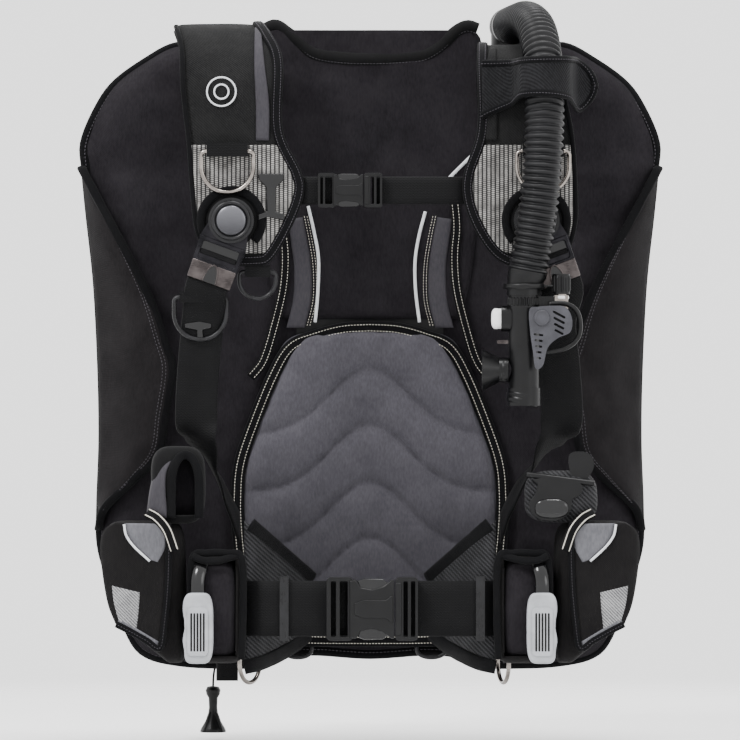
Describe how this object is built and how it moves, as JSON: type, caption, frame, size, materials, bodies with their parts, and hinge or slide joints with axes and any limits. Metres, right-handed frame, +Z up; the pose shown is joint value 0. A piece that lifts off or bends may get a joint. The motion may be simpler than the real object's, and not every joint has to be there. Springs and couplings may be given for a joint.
{
  "type": "buoyancy compensator vest",
  "caption": "Back-inflation diving vest: air cell, tank plate and band, padded harness, quick-release buckles, weight pouches, pockets and corrugated inflator hose.",
  "frame": {"origin": "on the tank's axis, at the middle of the tank band's width", "axes": "+Z up along the tank, -Y forward towards the wearer's front, +X towards the wearer's left"},
  "size_m": [0.54, 0.42, 0.6745],
  "materials": {
    "cell_cloth": "fine woven coated nylon, dull black",
    "wing_cloth": "plain woven nylon, brown-black",
    "pad_cloth": "twill woven nylon, black",
    "lumbar_cloth": "quilted grey knit, satin",
    "mesh_cloth": "ribbed spacer mesh, dark grey",
    "pocket_cloth": "heavy woven nylon, brown-black",
    "binding": "bound edge tape with light stitching",
    "silver_weave": "silver and black woven panel",
    "satin_strip": "smooth grey satin strip",
    "piping": "light reflective piping",
    "webbing": "flat woven polyester webbing, black",
    "neoprene": "soft neoprene, dull black",
    "plate_plastic": "moulded, fine texture",
    "buckle_plastic": "moulded acetal, low sheen",
    "ring_plastic": "moulded, dark grey",
    "gloss_black": "moulded, polished",
    "gunmetal": "satin grey metal",
    "steel": "polished stainless wire",
    "hose_rubber": "corrugated elastomer, dull",
    "inflator_plastic": "moulded, fine sheen",
    "grey_plastic": "moulded mid grey",
    "white_plastic": "moulded white",
    "handle_plastic": "moulded light grey",
    "cord_braid": "braided cord"
  },
  "bodies": {
    "harness": {"air_cell": "cell_cloth", "backpack_plate": "plate_plastic", "cam_buckle_base": "buckle_plastic", "carry_handle": "webbing", "chest_socket": "buckle_plastic", "chest_webbing": "webbing", "collar": "neoprene", "corrugated_hose": "hose_rubber", "cummerbund_left": "mesh_cloth", "cummerbund_right": "mesh_cloth", "dump_valve": "buckle_plastic", "hip_sleeves": "neoprene", "hose_cuff": "hose_rubber", "hose_elbow": "grey_plastic", "hose_flap": "pad_cloth", "inflator_body": "inflator_plastic", "inlet_nipple": "steel", "lumbar_pad": "lumbar_cloth", "mouthpiece": "hose_rubber", "pocket_left": "pocket_cloth", "pocket_right": "pocket_cloth", "pouch_sleeves": "pocket_cloth", "retainer_clip": "buckle_plastic", "ring_loops": "webbing", "shoulder_pad_left": "pad_cloth", "shoulder_pad_right": "pad_cloth", "shoulder_strap_left": "webbing", "shoulder_strap_right": "webbing", "swivel_posts": "gunmetal", "tank_band": "webbing", "upper_back_panel": "cell_cloth", "waist_socket": "buckle_plastic", "waist_webbing": "webbing", "wing_flap_left": "wing_cloth", "wing_flap_right": "wing_cloth"},
    "swivel_right": {"swivel_frame_right": "gunmetal"},
    "swivel_left": {"swivel_frame_left": "gunmetal"},
    "ring_chest_right": {"chest_ring_right": "steel"},
    "ring_chest_left": {"chest_ring_left": "steel"},
    "ring_strap": {"strap_ring": "ring_plastic"},
    "ring_pad": {"pad_ring": "ring_plastic"},
    "ring_hem_right": {"hem_ring_right": "steel"},
    "ring_hem_left": {"hem_ring_left": "steel"},
    "chest_plug_body": {"chest_plug": "buckle_plastic"},
    "waist_plug_body": {"waist_plug": "buckle_plastic"},
    "slider_right": {"waist_slider_right": "buckle_plastic"},
    "slider_left": {"waist_slider_left": "buckle_plastic"},
    "lever": {"inflate_lever": "grey_plastic"},
    "button": {"deflate_button": "white_plastic"},
    "cap": {"dust_cap": "inflator_plastic"},
    "dump_pull": {"dump_toggle": "buckle_plastic", "dump_cord": "cord_braid"},
    "flap_right": {"pocket_flap_right": "pocket_cloth"},
    "flap_left": {"pocket_flap_left": "pocket_cloth"},
    "weight_right": {"weight_pouch_right": "pocket_cloth", "weight_handle_right": "handle_plastic"},
    "weight_left": {"weight_pouch_left": "pocket_cloth", "weight_handle_left": "handle_plastic"},
    "cam": {"cam_lever": "buckle_plastic"},
    "adjuster": {"strap_adjuster": "gloss_black"}
  },
  "joints": [
    {"name": "swivel_turn_right", "type": "hinge", "parent": "harness", "child": "swivel_right", "pos_m": [-0.125, -0.2585, 0.0995], "axis": [0, 1, 0], "range_deg": [-10, 20]},
    {"name": "swivel_turn_left", "type": "hinge", "parent": "harness", "child": "swivel_left", "pos_m": [0.15, -0.2585, 0.0995], "axis": [0, -1, 0], "range_deg": [-10, 20]},
    {"name": "chest_ring_swing_right", "type": "hinge", "parent": "harness", "child": "ring_chest_right", "pos_m": [-0.1285, -0.256, 0.162], "axis": [-1, 0, 0], "range_deg": [0, 90]},
    {"name": "chest_ring_swing_left", "type": "hinge", "parent": "harness", "child": "ring_chest_left", "pos_m": [0.156, -0.256, 0.162], "axis": [-1, 0, 0], "range_deg": [0, 12]},
    {"name": "strap_ring_swing", "type": "hinge", "parent": "harness", "child": "ring_strap", "pos_m": [-0.153, -0.2515, 0.0305], "axis": [-1, 0, 0], "range_deg": [0, 90]},
    {"name": "pad_ring_swing", "type": "hinge", "parent": "harness", "child": "ring_pad", "pos_m": [-0.1015, -0.244, 0.0535], "axis": [-1, 0, 0], "range_deg": [-20, 20]},
    {"name": "hem_ring_swing_right", "type": "hinge", "parent": "harness", "child": "ring_hem_right", "pos_m": [-0.11, -0.162, -0.295], "axis": [0.5, 0.866, 0], "range_deg": [-60, 60]},
    {"name": "hem_ring_swing_left", "type": "hinge", "parent": "harness", "child": "ring_hem_left", "pos_m": [0.122, -0.162, -0.295], "axis": [-0.2588, 0.9659, 0], "range_deg": [-60, 60]},
    {"name": "chest_release", "type": "slide", "parent": "harness", "child": "chest_plug_body", "axis": [1, 0, 0], "range_m": [0, 0.03]},
    {"name": "waist_release", "type": "slide", "parent": "harness", "child": "waist_plug_body", "axis": [1, 0, 0], "range_m": [0, 0.04]},
    {"name": "waist_slider_shift_right", "type": "slide", "parent": "harness", "child": "slider_right", "axis": [1, 0, 0], "range_m": [-0.02, 0.025]},
    {"name": "waist_slider_shift_left", "type": "slide", "parent": "harness", "child": "slider_left", "axis": [1, 0, 0], "range_m": [-0.01, 0.003]},
    {"name": "inflate_press", "type": "hinge", "parent": "harness", "child": "lever", "pos_m": [0.154, -0.303, 0.012], "axis": [0, 1, 0], "range_deg": [0, 10], "stiffness_Nm_per_rad": 0.05},
    {"name": "deflate_press", "type": "slide", "parent": "harness", "child": "button", "axis": [1, 0, 0], "range_m": [0, 0.004], "stiffness_N_per_m": 300},
    {"name": "dust_cap_pull", "type": "slide", "parent": "harness", "child": "cap", "axis": [0, 0, 1], "range_m": [0, 0.02]},
    {"name": "dump_cord_pull", "type": "slide", "parent": "harness", "child": "dump_pull", "axis": [0, 0, -1], "range_m": [0, 0.012], "stiffness_N_per_m": 200},
    {"name": "flap_lift_right", "type": "hinge", "parent": "harness", "child": "flap_right", "pos_m": [-0.204, -0.293, -0.1715], "axis": [-1, 0, 0], "range_deg": [0, 90]},
    {"name": "flap_lift_left", "type": "hinge", "parent": "harness", "child": "flap_left", "pos_m": [0.204, -0.293, -0.1715], "axis": [-1, 0, 0], "range_deg": [0, 90]},
    {"name": "weight_pull_right", "type": "slide", "parent": "harness", "child": "weight_right", "axis": [0, -1, 0], "range_m": [0, 0.12]},
    {"name": "weight_pull_left", "type": "slide", "parent": "harness", "child": "weight_left", "axis": [0, -1, 0], "range_m": [0, 0.12]},
    {"name": "cam_lever_open", "type": "hinge", "parent": "harness", "child": "cam", "pos_m": [-0.024, 0.103, 0], "axis": [0, 0, 1], "range_deg": [0, 110]},
    {"name": "adjuster_tilt", "type": "hinge", "parent": "harness", "child": "adjuster", "pos_m": [0.1705, -0.289, -0.13], "axis": [-1, 0, 0], "range_deg": [0, 50]}
  ]
}
